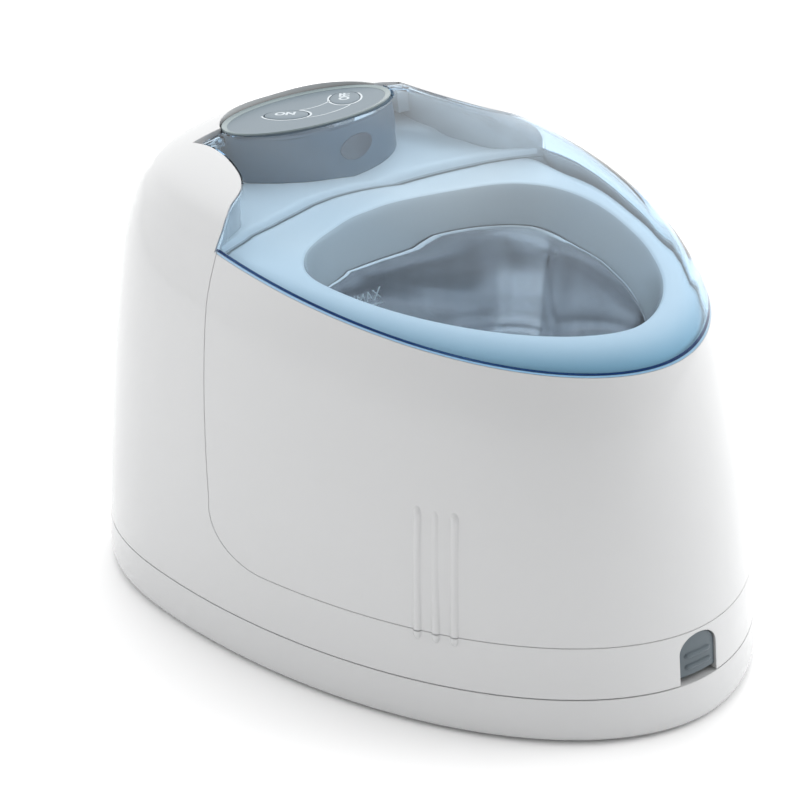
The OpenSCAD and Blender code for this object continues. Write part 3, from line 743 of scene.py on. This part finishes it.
def steel_tank():
    """The deep-drawn tank: up its outside, over its flange and down its inside."""
    outer = [(58, 17), (58.05, 15), (58.3, 13.4), (58.8, 12), (59.6, 10.7), (60.8, 9.5), (62.4, 8.5),
             (64.5, 7.5), (67.5, 6.6), (72, 6.0), (80, 5.0), (88, 4.1), (94.2, 3.3), (94.9, 3.0), (95.2, 2.4),
             (95.2, -0.5), (96, -0.5)]
    inner = [(96, 2.7), (95.9, 3.2), (95.5, 3.7), (94.8, 4.0), (88, 4.9), (80, 5.8), (72, 6.8), (67.7, 7.4),
             (65, 8.3), (63.1, 9.2), (61.6, 10.2), (60.4, 11.4), (59.6, 12.6), (59.1, 13.9), (58.85, 15.4),
             (58.8, 17.4)]
    o = loft("tank", [mouth(z, t) for z, t in outer + inner])
    return finish_piece(o, "steel_tank_look", STEEL, "tank_unit", ["steel_tank"], 50)


def level_mark():
    """MAX and a line, raised on the tank's rear wall."""
    o = join([words("MAX", 5.0, (0, 0), 0, 0, 0.25), block("line", -5.5, 5.5, -3.6, -3.1, 0, 0.25)])
    high, low = mouth(92, 4.45), mouth(80, 5.85)
    k = int(np.argmin(np.abs(high[:, 0] + 13) + (high[:, 1] < 3) * 1000))
    step = high[k + 3] - high[k - 3]
    across = Vector(step if step[0] > 0 else -step).normalized()
    upward = Vector(high[k] - low[k]).normalized()
    inward = across.cross(upward)
    base = Vector((high[k] * 0.5 + low[k] * 0.5) / 1000)
    if inward.y > 0:
        across, inward = -across, -inward
    o.data.transform(Matrix.Translation(base) @ Matrix((across, upward, inward)).transposed().to_4x4())
    return finish_piece(o, "level_mark", MARK, "tank_unit", [])


def tank_tub():
    """The inner tub that closes the tank unit underneath."""
    o = keep(loft("tub", [ring(z, 2.95) for z in [29, 31] + steps(33, 99.6, 3)]), dock(0.15))
    o = cut(o, keep(loft("tub_in", [ring(z, 4.9) for z in [32.3] + steps(34, 105, 3)]), dock(2.4)))
    o = cut(o, *[rod("shank", x, y, 20, 60, 1.4) for x, y in POSTS])
    o = cut(o, *[rod("head", x, y, 20, 31.3, 2.9) for x, y in POSTS])
    o = cut(o, block("plug", -12.3, 12.3, -20.3, -9.7, 25, 40))
    return finish_piece(o, "tank_tub_look", WHITE, "tank_unit", ["tank_tub"])


# ---------------------------------------------------------------- lid
def lid():
    """The clear blue lid: a thin crown with two ears and their hinge bosses, and a step under its rim."""
    o = loft("lid", [ring(z, 0.02) for z in steps(98, 105, 1.2)[:-1]] + crown(105, 129.2, 0.02))
    o = keep(keep(o, rim_plane(0.14)), prism("plan", shoulders(-0.5), 98.3, 138))
    o = cut(o, loft("lid_in", [ring(z, 2.0) for z in steps(96, 105, 1.2)[:-1]] + crown(105, 127, 2.0, 0.35)),
            prism("panel_gap", oval_plan(30.3, 18), 90, 141), block("rear", -60, 60, HINGE[1], 90, 90, 142))
    for x0, x1, b0, b1 in ((-33.6, -31.2, -33.8, -31.9), (31.2, 33.6, 31.9, 33.8)):
        boss = keep(cross_rod(x0, x1, 2.0), loft("under", [ring(z, 0.3) for z in steps(115, 128, 1)]))
        o = cut(add(o, boss), cross_rod(b0, b1, 1.0))
    inner = keep(loft("inner", [ring(z, 0.9) for z in steps(96, 120, 1.2)]),
                 block("low", -110, 110, -160, 160, 90, 122))
    o = cut(o, keep(inner, rim_plane(0.22, -40, 0)))
    o = finish_piece(o, "lid_look", BLUE, "lid", ["lid_shell"], 38)

    def over_rim(at):
        return at.z - RIM_HIGH - RIM_SLOPE * at.y

    # the underside of the lid's rim gets a painted highlight line outside and a painted shade line on the
    # step within
    o = tinted(o, RIM_PAINTED_HIGHLIGHT, lambda at, n: n.z < -0.9 and over_rim(at) < 0.18)
    return tinted(o, RIM_PAINTED_SHADE, lambda at, n: n.z < -0.9 and 0.18 <= over_rim(at) < 0.5)


for make in (base_pan, rear_casing, dock_frame, control_pod, light_lens, panel, prints, latch, front_shell,
             tank_deck, steel_tank, level_mark, tank_tub, lid):
    make()

# the nodes that keep their own shape only get a finish
KEPT_NODES = [
    (RUBBER, ["rubber_feet", "tank_gasket"]),
    (BRIGHT, ["base_screws", "tank_screws", "latch_spring", "hinge_pins", "fuse", "back_mass",
              "transducer_bolt"]),
    (BLACK, ["tact_switches", "inlet_socket", "docking_socket", "docking_plug"]),
    (GREEN, ["control_board", "power_board"]),
    (BRASS, ["inlet_pins", "electrodes"]),
    (ALU, ["heatsink", "transducer_horn"]),
    (WIRE, ["base_wiring", "tank_wiring"]),
    (LED, ["light_led"]),
    (TAPE, ["transformer"]),
    (SLEEVE, ["capacitors"]),
    (CERAMIC, ["piezo_rings"]),
]
for mat, nodes in KEPT_NODES:
    for node in nodes:
        finish_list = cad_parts[node].data.materials
        finish_list.clear()
        finish_list.append(mat)


# ---------------------------------------------------------------- camera, floor and light
def area(name, at, target, wide, high, watts):
    """A soft light that is never seen as a window in the gloss or through the lid."""
    d = bpy.data.lights.new(name, "AREA")
    d.shape, d.size, d.size_y, d.energy = "RECTANGLE", wide, high, watts
    o = bpy.data.objects.new(name, d)
    o.location = at
    o.rotation_euler = (Vector(target) - Vector(at)).to_track_quat("-Z", "Y").to_euler()
    o.visible_glossy = False
    o.visible_transmission = False
    bpy.context.scene.collection.objects.link(o)


corners = [(-6000, -6000), (6000, -6000), (6000, 6000), (-6000, 6000)]
floor = mesh("floor", [(x, y, -0.05) for x, y in corners], [[0, 1, 2, 3]])
floor.data.materials.append(material("floor", (0.93, 0.93, 0.93), 0.9, spec=0.1, tone=0.002, bump_scale=20))

world = bpy.data.worlds.new("studio")
bpy.context.scene.world = world
world.use_nodes = True
nt = world.node_tree
room = nt.nodes["Background"]
room.inputs["Color"].default_value = (1, 1, 1, 1)


def worked(how, a, b=None):
    """A number worked out in the room's shader."""
    m = nt.nodes.new("ShaderNodeMath")
    m.operation = how
    for socket, v in zip(m.inputs, (a, b)):
        if isinstance(v, (int, float)):
            socket.default_value = v
        elif v is not None:
            nt.links.new(v, socket)
    return m.outputs[0]


# the room is white all round and darker behind the near left flank
where = nt.nodes.new("ShaderNodeTexCoord").outputs["Generated"]
side = nt.nodes.new("ShaderNodeVectorMath")
side.operation = "DOT_PRODUCT"
side.inputs[1].default_value = (-0.64, -0.77, 0)
nt.links.new(where, side.inputs[0])
dark = worked("MULTIPLY", worked("MAXIMUM", side.outputs["Value"], 0.0), -0.86)
nt.links.new(worked("ADD", dark, 1.25), room.inputs["Strength"])

area("right", (1.2, -0.7, 1.0), (0, 0, 0.06), 0.7, 1.2, 9)
area("left", (-1.2, 1.1, 0.8), (0, 0, 0.06), 0.7, 1.2, 4)
area("top", (0.6, 0.7, 1.6), (0, 0, 0.1), 1.2, 1.2, 14)
area("low_front", (0.45, -1.3, 0.14), (0, 0, 0.03), 1.0, 0.25, 1.4)
area("low_left", (-1.35, -0.1, 0.14), (0, 0, 0.03), 1.0, 0.25, 0.8)

cam = bpy.data.cameras.new("camera")
cam.lens, cam.sensor_width, cam.sensor_fit = 135, 36, "HORIZONTAL"
cam.clip_start, cam.clip_end = 0.05, 50
eye = bpy.data.objects.new("camera", cam)
forward, right = Vector((0.56755, 0.67932, -0.46520)), Vector((0.77109, -0.63663, 0.01108))
up = right.cross(forward)
turn = Matrix((right, up, -forward)).transposed().to_4x4()
eye.matrix_world = Matrix.Translation((-0.51478, -0.58935, 0.46952)) @ turn
bpy.context.scene.collection.objects.link(eye)
bpy.context.scene.camera = eye
bpy.context.scene.view_settings.view_transform = "Standard"
